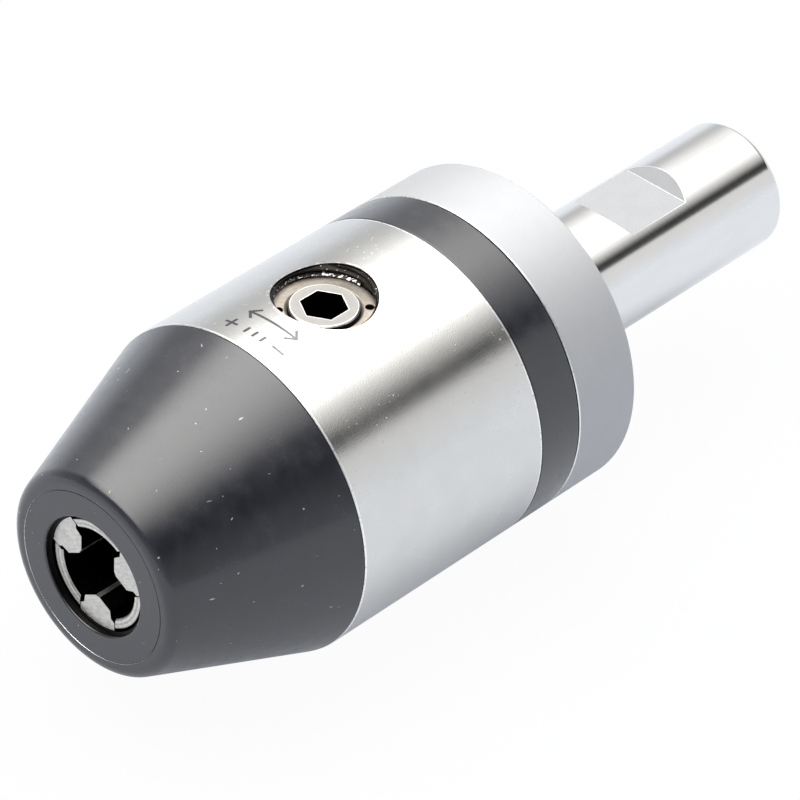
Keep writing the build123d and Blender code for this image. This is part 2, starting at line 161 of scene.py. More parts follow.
class ChuckColours(bpy.types.PropertyGroup):
    """Colours of the finishes, as they look in even white light."""

    ground_steel: colour_property("Ground steel", "Body", "#d2d1cf")
    polished_steel: colour_property("Polished steel", "Shank", "#dfdedd")
    matt_steel: colour_property("Matt steel", "Flange", "#b9babd")
    milled_steel: colour_property("Milled steel", "Clamping flat", "#aeafb2")
    turned_steel: colour_property("Turned steel", "Gear, bearing and key inside the housing", "#b9babd")
    black_oxide: colour_property("Black oxide", "Nose and lock ring", "#1c1d24")
    dust: colour_property("Dust", "Dust and hairlines on the nose", "#cdcdce")
    jaw_steel: colour_property("Jaw steel", "Faces of the jaws and their guide", "#cecbc6")
    pinion_steel: colour_property("Pinion steel", "Face of the pinion", "#a09e9b")
    # Near-black: painted shade on the walls of the mouth, jaws, guide, socket and seam; oiled on the unseen
    # spindle.
    oil_and_painted_shade_steel: colour_property("Oiled steel", "Unseen walls of the jaws, sockets and spindle", "#1e1c1b")
    # Dark brown for the key well's wall: oil, deepened as painted shade in the well.
    bore_steel: colour_property("Bore steel", "Wall of the key well", "#46413f")
    # Dark brown for the spanner holes: painted shade in the holes.
    hole_steel: colour_property("Spanner hole steel", "Spanner holes of the retaining ring", "#4a3730")
    # Near-white for rims, edges and thread crests: a painted highlight, partly edges rubbed bright.
    rubbed_painted_highlight_steel: colour_property("Burnished steel", "Rims and edges rubbed bright", "#f4f4f3")
    retainer_steel: colour_property("Retaining ring steel", "Ring round the pinion", "#b5ada3")
    # Near-black: the thread's oil, deepened as painted shade in the well.
    thread_steel: colour_property("Cut thread steel", "Thread in the key well", "#2b2826")
    bronze: colour_property("Bronze", "Bushes and washers", "#b98d56")
    rubber: colour_property("Seal rubber", "O-rings", "#1b1b1c")
    laser_mark: colour_property("Laser mark", "Markings on the body", "#636367")
    floor: colour_property("Floor", "Studio floor, as it lights the chuck", "#b0b3b9")


def sizes():
    """Return the sizes set in the sidebar."""
    return bpy.context.scene.chuck_sizes


def colours():
    """Return the colours set in the sidebar."""
    return bpy.context.scene.chuck_colours


class Shading:
    """A node tree, and the values that its nodes work out."""

    def __init__(self, tree):
        self.tree = tree

    def add(self, kind, inputs=None, **settings):
        """Add a node with its settings, and set or link its inputs."""
        node = self.tree.nodes.new(f"ShaderNode{kind}")
        for key, value in settings.items():
            setattr(node, key, value)
        self.fill(node, inputs or {})
        return node

    def fill(self, node, inputs):
        """Set or link the inputs of a node."""
        shown = {socket.name: socket for socket in node.inputs if socket.enabled}
        for key, value in inputs.items():
            socket = shown.get(key, node.inputs[key])
            if isinstance(value, bpy.types.NodeSocket):
                self.tree.links.new(value, socket)
            else:
                socket.default_value = (*value, 1) if socket.type == "RGBA" else value

    def total(self, *parts):
        """Return the sum of patterns, each given with its share where it is 0 and where it is 1."""
        result = 0.0
        for pattern, low, high in parts:
            share = self.add("MapRange", {"Value": pattern, "To Min": low, "To Max": high}).outputs[0]
            result = self.add("Math", {0: result, 1: share}).outputs[0]
        return result

    def area(self, *edges, level=1.0):
        """Return a level inside soft edges, each given as a value with its outer and its inner end."""
        for value, outer, inner in edges:
            inputs = {"Value": value, "From Min": outer, "From Max": inner}
            inside = self.add("MapRange", inputs, interpolation_type="SMOOTHSTEP").outputs[0]
            level = self.add("Math", {0: level, 1: inside}, operation="MULTIPLY").outputs[0]
        return level


class Finish(Shading):
    """A material in the making, whose patterns are sized in millimetres and lie still on the piece."""

    def __init__(self, name, colour, metallic=1.0, specular=0.5):
        self.material = bpy.data.materials.new(name)
        self.material.use_nodes = True
        super().__init__(self.material.node_tree)
        self.colour = colour
        self.shader = self.tree.nodes["Principled BSDF"]
        self.place = self.add("TexCoord").outputs["Object"]
        self.fill(self.shader, {"Base Color": colour, "Metallic": metallic, "Specular IOR Level": specular})

    def marks(self, along, across, detail=2.0, place=None):
        """Return noise whose marks are `along` wide on X and `across` wide on Y and Z."""
        scale = (1 / (along * MM), 1 / (across * MM), 1 / (across * MM))
        stretched = self.add("Mapping", {"Vector": place or self.place, "Scale": scale}).outputs[0]
        inputs = {"Vector": stretched, "Scale": 1.0, "Detail": detail, "Roughness": 0.6}
        return self.add("TexNoise", inputs).outputs["Fac"]

    def specks(self, spacing, size, share, place=None):
        """Return 1 inside small specks, one in each chosen cell of a grid of cells."""
        inputs = {"Vector": place or self.place, "Scale": 1 / (spacing * MM)}
        cells = self.add("TexVoronoi", inputs).outputs
        reach = size / spacing
        inputs = {"Value": cells["Distance"], "From Min": reach, "From Max": 0.3 * reach}
        near = self.add("MapRange", inputs).outputs[0]
        draw = self.add("SeparateColor", {"Color": cells["Color"]}).outputs["Red"]
        chosen = self.add("Math", {0: draw, 1: share}, operation="LESS_THAN").outputs[0]
        return self.add("Math", {0: near, 1: chosen}, operation="MULTIPLY").outputs[0]

    def hairs(self):
        """Return a pattern of short curved hairlines, each a long thin cell of a bent grid."""
        inputs = {"Vector": self.place, "Scale": 1 / (3 * MM), "Detail": 0.0}
        bend = self.add("TexNoise", inputs).outputs["Color"]
        reach = Vector((1, 1, 1)) * 2.5 * MM
        shift = self.add("VectorMath", {0: bend, 1: reach, 2: -reach / 2}, operation="MULTIPLY_ADD")
        bent = self.add("VectorMath", {0: self.place, 1: shift.outputs[0]}).outputs[0]
        lines = 0.0
        for turn in ((0.4, 0.9, 0.2), (1.3, -0.5, 0.8)):
            drawn_out = self.add("Mapping", {"Vector": bent, "Rotation": turn, "Scale": (0.16, 1, 1)})
            more = self.specks(0.6, 0.11, 0.035, drawn_out.outputs[0])
            lines = self.add("Math", {0: lines, 1: more}, operation="MAXIMUM").outputs[0]
        return self.total((lines, 0.0, 0.7))

    def gloss(self, *parts):
        """Set the roughness to a sum of patterns, given as for total."""
        self.fill(self.shader, {"Roughness": self.total(*parts)})

    def relief(self, depth, *parts):
        """Raise the surface by a sum of patterns, given as for total, times a depth."""
        raised = self.add("Bump", {"Height": self.total(*parts), "Distance": depth * MM})
        self.fill(self.shader, {"Normal": raised.outputs[0]})

    def tint(self, pattern, colour, other):
        """Colour the surface by one colour where a pattern is 0 and by another where it is 1."""
        mix = self.add("Mix", {"Factor": pattern, "A": colour, "B": other}, data_type="RGBA")
        mixed = next(socket for socket in mix.outputs if socket.enabled)
        self.fill(self.shader, {"Base Color": mixed})
        return mixed

    def shade(self, pattern, low, high):
        """Multiply the colour by `low` where a pattern is 0 and by `high` where it is 1."""
        return self.tint(pattern, *([min(1.0, c * share) for c in self.colour] for share in (low, high)))


def ground_steel():
    """Alloy steel, cylindrically ground: satin, with a fine sparkle at the edge of each reflection.

    The wheel's grain is finer than the picture can show, so it is drawn about three times as coarse.
    """
    finish = Finish("ground_steel", colours().ground_steel)
    lines = finish.marks(0.25, 5)
    grain = finish.marks(0.16, 0.18, 3.0)
    clouds = finish.marks(5, 5)
    nicks = finish.area((clouds, 0.53, 0.58), level=finish.specks(0.6, 0.16, 0.45))
    worn = finish.add("Math", {0: nicks, 1: well_scuffs(finish)}, operation="MAXIMUM").outputs[0]
    finish.gloss((grain, 0.12, 0.21), (clouds, -0.03, 0.04), (worn, 0.0, 0.26))
    finish.shade(clouds, 0.93, 1.06)
    finish.relief(0.011, (lines, 0.0, 0.15), (grain, 0.0, 1.0), (nicks, 0.0, -0.7))
    return finish.material


def well_scuffs(finish):
    """Return 1 in the broken ring of scuffs that the key's hub leaves round the key well."""
    inputs = {"Vector": finish.place, "Location": (-WELL_X, 0, 0), "Scale": (1, 1, 0)}
    from_well = finish.add("Mapping", inputs).outputs[0]
    out = finish.add("VectorMath", {0: from_well}, operation="LENGTH").outputs["Value"]
    rim = sizes().well_radius
    inner_edge = (out, rim, rim + 0.15 * MM)
    outer_edge = (out, rim + 0.6 * MM, rim + 0.2 * MM)
    return finish.area(inner_edge, outer_edge, (finish.marks(1.2, 1.2, 3.0), 0.45, 0.6))


def rubbed_edge_painted_highlight_steel():
    """Alloy steel in near-white on narrow rims and edges: a painted highlight line, partly edges rubbed
    bright by handling, broken by small dents.
    """
    finish = Finish("rubbed_edge_painted_highlight_steel", colours().rubbed_painted_highlight_steel)
    dents = finish.marks(0.5, 0.5, 3.0)
    finish.shade(finish.area((dents, 0.45, 0.3)), 1.0, 0.55)
    finish.gloss((dents, 0.24, 0.42))
    finish.relief(0.02, (dents, 0.0, 1.0))
    return finish.material


def polished_shank_steel():
    """Hardened steel, finely ground to fit a bore: near mirror, so the dark streak on it is sharp."""
    finish = Finish("polished_shank_steel", colours().polished_steel)
    lines = finish.marks(0.2, 9)
    grain = finish.marks(0.35, 0.35)
    clouds = finish.marks(6, 2)
    finish.gloss((lines, 0.07, 0.12), (clouds, -0.02, 0.03))
    finish.shade(clouds, 0.95, 1.04)
    finish.relief(0.006, (lines, 0.0, 0.6), (grain, 0.0, 0.25))
    return finish.material


def matt_flange_steel():
    """Alloy steel, fine turned and vapour blasted: even and matt, with a cool tone."""
    finish = Finish("matt_flange_steel", colours().matt_steel)
    lines = finish.marks(0.25, 8)
    grain = finish.marks(0.25, 0.25)
    finish.gloss((grain, 0.65, 0.76))
    finish.shade(finish.marks(3, 4), 0.97, 1.03)
    finish.relief(0.012, (lines, 0.0, 0.6), (grain, 0.0, 0.6))
    return finish.material


def milled_flat_steel():
    """Alloy steel, fine milled: pale satin, with faint lines across the flat from the cutter's edge."""
    finish = Finish("milled_flat_steel", colours().milled_steel)
    lines = finish.marks(0.3, 6)
    grain = finish.marks(0.3, 0.3)
    finish.gloss((grain, 0.7, 0.82))
    finish.shade(finish.marks(2.5, 2.5, 3.0), 0.95, 1.04)
    finish.relief(0.008, (lines, 0.0, 1.0), (grain, 0.0, 1.0))
    return finish.material


def black_oxide(name, dusty):
    """Turned steel, hot blackened, oiled: charcoal with a soft sheen, cloudy where the bath was uneven."""
    finish = Finish(name, colours().black_oxide, metallic=0.0)
    finish.fill(finish.shader, {"IOR": 1.6, "Coat Weight": 0.3, "Coat Roughness": 0.12})
    clouds = finish.marks(2.2, 3, 4.0)
    lines = finish.marks(0.28, 7)
    grain = finish.marks(0.35, 0.35, 3.0)
    gloss = [(clouds, 0.06, 0.38), (grain, -0.02, 0.04)]
    clean = finish.shade(clouds, 0.6, 1.5)
    if dusty:
        bits = {0: finish.specks(2.6, 0.17, 0.3), 1: finish.hairs()}
        dust = finish.add("Math", bits, operation="MAXIMUM").outputs[0]
        finish.tint(dust, clean, colours().dust)
        gloss.append((dust, 0.0, 0.3))
    finish.gloss(*gloss)
    finish.relief(0.01, (lines, 0.0, 0.5), (grain, 0.0, 0.7))
    return finish.material


def ground_jaw_steel():
    """Tool steel, hardened and surface ground: light grey, with fine straight lines and faint oil stains."""
    finish = Finish("ground_jaw_steel", colours().jaw_steel)
    turned = finish.add("Mapping", {"Vector": finish.place, "Rotation": (0.6, 0, 0)}).outputs[0]
    drawn_out = finish.add("Mapping", {"Vector": turned, "Scale": (1, 0.12, 1)}).outputs[0]
    lines = finish.marks(3, 0.2, 3.0, turned)
    scratches = finish.marks(2, 0.18, 2.0, drawn_out)
    grain = finish.marks(0.9, 0.9, 3.0)
    finish.gloss((scratches, 0.34, 0.52), (grain, -0.05, 0.05))
    finish.shade(finish.total((scratches, -0.7, 1.3), (grain, -0.7, 1.3)), 0.78, 1.1)
    finish.relief(0.012, (lines, 0.0, 0.4), (scratches, 0.0, 1.0))
    return finish.material


def turned_steel(name, colour, ring_spacing, roughness=0.3, contrast=1.0, centre=(0, 0, 0), axis="X"):
    """Steel, faced on a lathe: fine rings round the turning axis that glint in a line.

    A real tool's feed is about 0.1 mm, too fine to show, so the rings are drawn further apart.
    """
    finish = Finish(name, colour)
    place = finish.add("Mapping", {"Vector": finish.place, "Location": [-c for c in centre]}).outputs[0]
    inputs = {"Vector": place, "Scale": pi / (10 * ring_spacing * MM), "Distortion": 0.4, "Detail": 3.0}
    rings = finish.add("TexWave", inputs, wave_type="RINGS", rings_direction=axis).outputs["Fac"]
    grain = finish.marks(0.45, 0.45, 3.0)
    finish.gloss((rings, roughness - 0.05, roughness + 0.06), (grain, -0.04, 0.04))
    tone = finish.total((rings, 0.0, 0.5), (grain, -0.25, 0.75))
    finish.shade(tone, 1 - 0.16 * contrast, 1 + 0.1 * contrast)
    finish.relief(0.012, (rings, 0.0, 1.0), (grain, 0.0, 1.0))
    return finish.material


def cut_thread_steel():
    """Steel with a thread cut by a tap: dark with oil and painted shade, with near-white painted glints on
    spots, most just above the ring.
    """
    finish = Finish("cut_thread_steel", colours().thread_steel)
    torn_spots_and_glints = finish.marks(0.4, 0.4, 4.0)
    height = finish.add("SeparateXYZ", {"Vector": finish.place}).outputs["Z"]
    near_ring = finish.area((height, RETAINER_FACE + 0.9 * MM, RETAINER_FACE + 0.4 * MM))
    # Painted glints: a near-white colour on spots of noise, more of them near the retaining ring.
    bright = finish.area((finish.total((torn_spots_and_glints, 0.0, 1.0), (near_ring, 0.0, 0.17)), 0.64, 0.72))
    finish.tint(bright, finish.colour, colours().rubbed_painted_highlight_steel)
    finish.gloss((torn_spots_and_glints, 0.25, 0.45))
    finish.relief(0.06, (torn_spots_and_glints, 0.0, 1.0))
    return finish.material


def turned_bronze():
    """Bearing bronze, turned: warm yellow brown with fine rings and a slight tarnish."""
    return turned_steel("turned_bronze", colours().bronze, 1.885, 0.36)


def seal_rubber():
    """Nitrile rubber, moulded: near black and soft, with an even low sheen."""
    finish = Finish("seal_rubber", colours().rubber, metallic=0.0, specular=0.4)
    grain = finish.marks(0.15, 0.15)
    finish.gloss((grain, 0.5, 0.62))
    finish.relief(0.004, (grain, 0.0, 1.0))
    return finish.material


def oil_and_painted_shade_steel(name, colour=None):
    """Steel, hardened, left unground and oiled, near-black brown if no colour is given, with dull glints; on
    recess and gap walls this dark is painted shade.
    """
    finish = Finish(name, colour or colours().oil_and_painted_shade_steel)
    grain = finish.marks(0.3, 0.3, 3.0)
    finish.shade(grain, 0.6, 1.5)
    finish.gloss((grain, 0.3, 0.5))
    finish.relief(0.02, (grain, 0.0, 1.0))
    return finish.material


def laser_mark():
    """Laser annealed steel: grey lines that mirror as the body does, so they pale where it shines."""
    finish = Finish("laser_mark", colours().laser_mark)
    grain = finish.marks(0.15, 0.15)
    finish.shade(grain, 0.7, 1.5)
    finish.gloss((grain, 0.12, 0.24))
    return finish.material


def arc(centre, radius, start, end, steps):
    """Return points of (x, radius) along an arc, with its ends."""
    turns = [start + (end - start) * i / steps for i in range(steps + 1)]
    return [(centre[0] + radius * cos(t), centre[1] + radius * sin(t)) for t in turns]


def seal_space(front, wall):
    """Return the points of a seal's groove of (x, radius), cut into a wall from its front edge."""
    rear = front + SEAL_GROOVE
    return [(front, wall), (front, wall - SEAL_GROOVE), (rear, wall - SEAL_GROOVE), (rear, wall)]


def spun(outline, steps):
    """Turn an outline of (x, radius) points about X. It is closed unless its ends lie on the axis."""
    bm = bmesh.new()
    verts = [bm.verts.new((x, 0.0, r)) for x, r in outline]
    pairs = list(zip(verts, verts[1:]))
    if outline[0][1] > 0 or outline[-1][1] > 0:
        pairs.append((verts[-1], verts[0]))
    edges = [bm.edges.new(pair) for pair in pairs]
    bmesh.ops.spin(
        bm, geom=verts + edges, cent=(0, 0, 0), axis=(1, 0, 0), angle=2 * pi, steps=steps, use_merge=True
    )
    bmesh.ops.remove_doubles(bm, verts=bm.verts, dist=1e-7)
    bmesh.ops.recalc_face_normals(bm, faces=bm.faces)
    return bm


def as_object(name, bm):
    """Make an object of a bmesh and free the bmesh."""
    mesh = bpy.data.meshes.new(name)
    bm.to_mesh(mesh)
    bm.free()
    piece = bpy.data.objects.new(name, mesh)
    bpy.context.scene.collection.objects.link(piece)
    return piece


def carve(piece, cutter_bm, operation="DIFFERENCE"):
    """Cut a bmesh from a piece, or keep only what lies in it."""
    cutter = as_object("cutter", cutter_bm)
    modifier = piece.modifiers.new("carve", "BOOLEAN")
    modifier.operation = operation
    modifier.solver = "EXACT"
    modifier.object = cutter
    graph = bpy.context.evaluated_depsgraph_get()
    carved = bpy.data.meshes.new_from_object(piece.evaluated_get(graph))
    piece.modifiers.clear()
    old, piece.data = piece.data, carved
    mesh = cutter.data
    bpy.data.objects.remove(cutter)
    for unused in (old, mesh):
        bpy.data.meshes.remove(unused)
    if not piece.data.polygons:
        raise RuntimeError(f"nothing is left of {piece.name}")


def round_edges(piece, width, segments=3, sharper_than=25.0, keep=None):
    """Bevel the sharp edges of a piece, shade it smooth and weight its normals by face size."""
    bm = bmesh.new()
    bm.from_mesh(piece.data)
    bmesh.ops.remove_doubles(bm, verts=bm.verts, dist=1e-7)
    sharp = [e for e in bm.edges if is_sharp(e, sharper_than) and (keep is None or keep(e))]
    bmesh.ops.bevel(
        bm, geom=sharp, offset=width, offset_type="OFFSET", segments=segments, profile=0.5,
        affect="EDGES", material=-1, clamp_overlap=True,
    )
    for face in bm.faces:
        face.smooth = True
    for edge in bm.edges:
        edge.smooth = not is_sharp(edge, 40)
    bm.to_mesh(piece.data)
    bm.free()
    weighted = piece.modifiers.new("weighted_normals", "WEIGHTED_NORMAL")
    weighted.weight = 100
    weighted.keep_sharp = True


def is_sharp(edge, angle):
    """Tell whether two faces meet at an edge and turn there by more than an angle in degrees."""
    return len(edge.link_faces) == 2 and edge.calc_face_angle(0.0) > radians(angle)


def finish_piece(piece, node, slot, material, *others):
    """Dress a piece, stand it for its CAD node and let it ride on that node's body.

    Each of the other materials comes with a test for its faces, and overrules those before it.
    """
    piece.data.materials.append(material)
    for index, (other, fits) in enumerate(others, 1):
        piece.data.materials.append(other)
        for face in piece.data.polygons:
            if fits(face):
                face.material_index = index
    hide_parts(node)
    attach(piece, frame["nodes"][node]["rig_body"])


def fit_to_body(piece, material):
    """Dress a piece that has no CAD node and let it ride on the housing."""
    piece.data.materials.append(material)
    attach(piece, "housing")


def off_axis(face):
    """Return how far a face's centre lies from the chuck's axis."""
    return hypot(*face.center.yz)


def off_well(face):
    """Return how far a face's centre lies from the pinion's axis."""
    return hypot(face.center.x - WELL_X, face.center.y)


def well_cutter(low, high, radius, sides):
    """Return a closed cylinder on the pinion's axis, between two heights."""
    bm = bmesh.new()
    place = Matrix.Translation((WELL_X, 0, (low + high) / 2))
    bmesh.ops.create_cone(
        bm, cap_ends=True, segments=sides, radius1=radius, radius2=radius, depth=high - low, matrix=place
    )
    return bm


class CHUCK_OT_nose_cone(bpy.types.Operator):
    """Turn the blackened nose, with its rounded corner, mouth and clamping cone"""

    bl_idname = "chuck.nose_cone"
    bl_label = "Nose cone"

    def execute(self, context):
        s = sizes()
        slope = tan(s.nose_cone_angle)
        corner = s.nose_corner
        corner_radius = HOUSING_RADIUS - (BODY_FRONT - NOSE_FRONT) * slope
        face_edge = corner_radius - corner * tan((pi / 2 - s.nose_cone_angle) / 2)
        groove = 0.12 * MM
        lip = 0.25 * MM
        mouth = s.mouth_radius
        cone_start = NOSE_FRONT + s.mouth_depth
        seam = 0.16 * MM
        seam_floor = HOUSING_RADIUS - 0.5 * MM
        thread = HOUSING_RADIUS - 2.8 * MM
        rear_cone = s.throat_radius + (NOSE_REAR - cone_start) * tan(s.clamping_angle)
        outline = [
            (NOSE_FRONT + lip, mouth),
            (NOSE_FRONT + 0.65 * lip, mouth + 0.08 * lip),
            (NOSE_FRONT + 0.08 * lip, mouth + 0.65 * lip),
            (NOSE_FRONT, mouth + lip),
            (NOSE_FRONT, s.face_groove - 0.05 * MM),
            (NOSE_FRONT + groove, s.face_groove - 0.03 * MM),
            (NOSE_FRONT + groove, s.face_groove + 0.02 * MM),
            (NOSE_FRONT + 0.04 * MM, s.face_groove + 0.03 * MM),
            (NOSE_FRONT, s.face_groove + 0.07 * MM),
            *arc((NOSE_FRONT + corner, face_edge), corner, pi, pi / 2 + s.nose_cone_angle, 10),
            (BODY_FRONT - seam, HOUSING_RADIUS - seam * slope - 0.02 * MM),
            (BODY_FRONT - 0.8 * seam, seam_floor),
            (BODY_FRONT, seam_floor),
            (BODY_FRONT, thread),
            *seal_space(BODY_FRONT + SEAL_LAND, thread),
            (NOSE_REAR, thread),
            (NOSE_REAR, rear_cone),
            (cone_start, s.throat_radius),
            (cone_start, mouth),
        ]
        piece = as_object("nose_cone_shell", spun(outline, s.turned_steps))
        round_edges(piece, s.edge_round, sharper_than=20.0, keep=lambda e: not self.on_face(e, face_edge))
        # The mouth's wall behind the lip and the clamping cone are near-black: painted shade in the recess.
        finish_piece(
            piece, "nose_cone", "blackened_steel", black_oxide("black_oxide_nose", True),
            (oil_and_painted_shade_steel("painted_shade_throat_steel"), lambda face: self.in_throat(face, s, lip)),
            # The groove's outer edge: a near-white painted highlight line.
            (rubbed_edge_painted_highlight_steel(), lambda face: self.on_painted_highlight_edge(face, s.face_groove + 0.05 * MM)),
        )
        return {"FINISHED"}

    def on_face(self, edge, radius):
        """Tell whether an edge belongs to the mouth's lip or to the groove that the facing tool left."""
        x, y, z = edge.verts[0].co
        return x < NOSE_FRONT + 0.3 * MM and hypot(y, z) < radius - 0.1 * MM

    def in_throat(self, face, s, lip):
        """Tell whether a face lies in the mouth, behind its lip, or on the clamping cone."""
        depth = face.center.x - NOSE_FRONT
        wall = s.mouth_radius + max(0.0, depth - s.mouth_depth) * tan(s.clamping_angle)
        return depth > lip and off_axis(face) < wall + 0.2 * MM

    def on_painted_highlight_edge(self, face, radius):
        """Tell whether a face is the groove's outer edge, which gets a painted highlight line, partly rubbed
        bright.
        """
        return face.center.x < NOSE_FRONT + 0.03 * MM and abs(off_axis(face) - radius) < 0.01 * MM


class CHUCK_OT_body(bpy.types.Operator):
    """Turn the ground body, with its hub inside and the key well bored through its side"""

    bl_idname = "chuck.body"
    bl_label = "Body"

    def execute(self, context):
        s = sizes()
        edge = 0.12 * MM
        front_rim = BODY_FRONT + edge + 0.16 * MM
        rear_rim = BODY_REAR - edge - 0.24 * MM
        nose_thread = HOUSING_RADIUS - 2.75 * MM
        rear_thread = HOUSING_RADIUS - REAR_JOINT_WALL
        hub = 11.5 * MM
        bore = 8.05 * MM
        cup_front = CUP_FRONT - 0.1 * MM
        partition_rear = PARTITION_FRONT + 2.2 * MM
        outline = [
            (BODY_FRONT, nose_thread),
            (BODY_FRONT, TURNED_RADIUS - edge),
            (BODY_FRONT + edge, TURNED_RADIUS),
            (front_rim, TURNED_RADIUS),
            (rear_rim, TURNED_RADIUS),
            (BODY_REAR - edge, TURNED_RADIUS),
            (BODY_REAR, TURNED_RADIUS - edge),
            (BODY_REAR, rear_thread),
            (cup_front, rear_thread),
            (cup_front, GEAR_SPACE),
            (partition_rear, GEAR_SPACE),
            (partition_rear, hub),
            (HUB_REAR, hub),
            (HUB_REAR, bore),
            (PARTITION_FRONT, bore),
            (PARTITION_FRONT, nose_thread),
        ]
        piece = as_object("body_shell", spun(outline, s.turned_steps))
        pinion_space = 6.8 * MM
        spigot_bore = 2.05 * MM
        spigot_floor = 9.5 * MM
        carve(piece, well_cutter(WELL_FLOOR, HOUSING_RADIUS + 2 * MM, s.well_radius, 96))
        carve(piece, well_cutter(hub + 1 * MM, WELL_FLOOR + 0.5 * MM, pinion_space, 64))
        carve(piece, well_cutter(spigot_floor, hub + 1.5 * MM, spigot_bore, 32))
        round_edges(piece, 0.08 * MM)

        # Narrow strips at both rims and the small faces round the well's rim get the near-white painted
        # highlight line.
        def on_rim(face):
            beside = not front_rim + 0.01 * MM < face.center.x < rear_rim - 0.01 * MM
            round_well = face.area < 1 * MM * MM and off_well(face) < s.well_radius + 0.1 * MM
            return off_axis(face) > TURNED_RADIUS - 0.14 * MM and (beside or round_well)

        inside = HOUSING_RADIUS - 0.45 * MM
        finish_piece(
            piece, "body", "ground_steel", ground_steel(),
            # Bores and the key well's wall get a dark brown: painted shade in the well.
            (oil_and_painted_shade_steel("painted_shade_bore_steel", colours().bore_steel), lambda face: off_axis(face) < inside),
            (rubbed_edge_painted_highlight_steel(), on_rim),
        )
        return {"FINISHED"}


class CHUCK_OT_well_thread(bpy.types.Operator):
    """Wind the thread in the wall of the key well, above the retaining ring"""

    bl_idname = "chuck.well_thread"
    bl_label = "Key well thread"

    def execute(self, context):
        s = sizes()
        pitch = s.thread_pitch
        turns = 3
        steps = 72 * turns
        start = RETAINER_FACE - 0.2 * MM
        wall = s.well_radius + 0.05 * MM
        crest = s.well_radius - s.thread_depth
        shape = [(wall, 0), (crest, 0.42 * pitch), (crest, 0.55 * pitch), (wall, 0.97 * pitch)]
        bm = bmesh.new()
        bm.faces.new([bm.verts.new((WELL_X + r, 0, start + z)) for r, z in shape])
        ends_of_thread = bm.verts[:] + bm.edges[:] + bm.faces[:]
        bmesh.ops.spin(
            bm, geom=ends_of_thread, cent=(WELL_X, 0, 0), axis=(0, 0, 1), dvec=(0, 0, pitch * turns / steps),
            angle=2 * pi * turns, steps=steps,
        )
        bmesh.ops.remove_doubles(bm, verts=bm.verts, dist=1e-7)
        bmesh.ops.recalc_face_normals(bm, faces=bm.faces)
        piece = as_object("well_thread", bm)
        rim = HOUSING_RADIUS - 0.25 * MM
        front, rear = WELL_X - 20 * MM, WELL_X + 20 * MM
        carve(piece, spun([(front, 0), (front, rim), (rear, rim), (rear, 0)], 128), "INTERSECT")
        for face in piece.data.polygons:
            face.use_smooth = False
        fit_to_body(piece, cut_thread_steel())
        return {"FINISHED"}


class CHUCK_OT_lock_ring(bpy.types.Operator):
    """Turn the blackened lock ring, with the fine gap before the flange"""

    bl_idname = "chuck.lock_ring"
    bl_label = "Lock ring"

    def execute(self, context):
        s = sizes()
        edge = 0.14 * MM
        bore = HOUSING_RADIUS - REAR_JOINT_WALL
        rear = RING_REAR - s.seam_gap
        seam_floor = TURNED_RADIUS - 1.2 * MM
        outline = [
            (BODY_REAR, bore),
            (BODY_REAR, TURNED_RADIUS - edge),
            (BODY_REAR + edge, TURNED_RADIUS),
            (rear - edge, TURNED_RADIUS),
            (rear, TURNED_RADIUS - edge),
            (rear, seam_floor),
            (RING_REAR, seam_floor),
            (RING_REAR, bore),
        ]
        piece = as_object("lock_ring_shell", spun(outline, s.turned_steps))
        round_edges(piece, 0.07 * MM)
        finish_piece(piece, "lock_ring", "blackened_steel", black_oxide("black_oxide_ring", False))
        return {"FINISHED"}


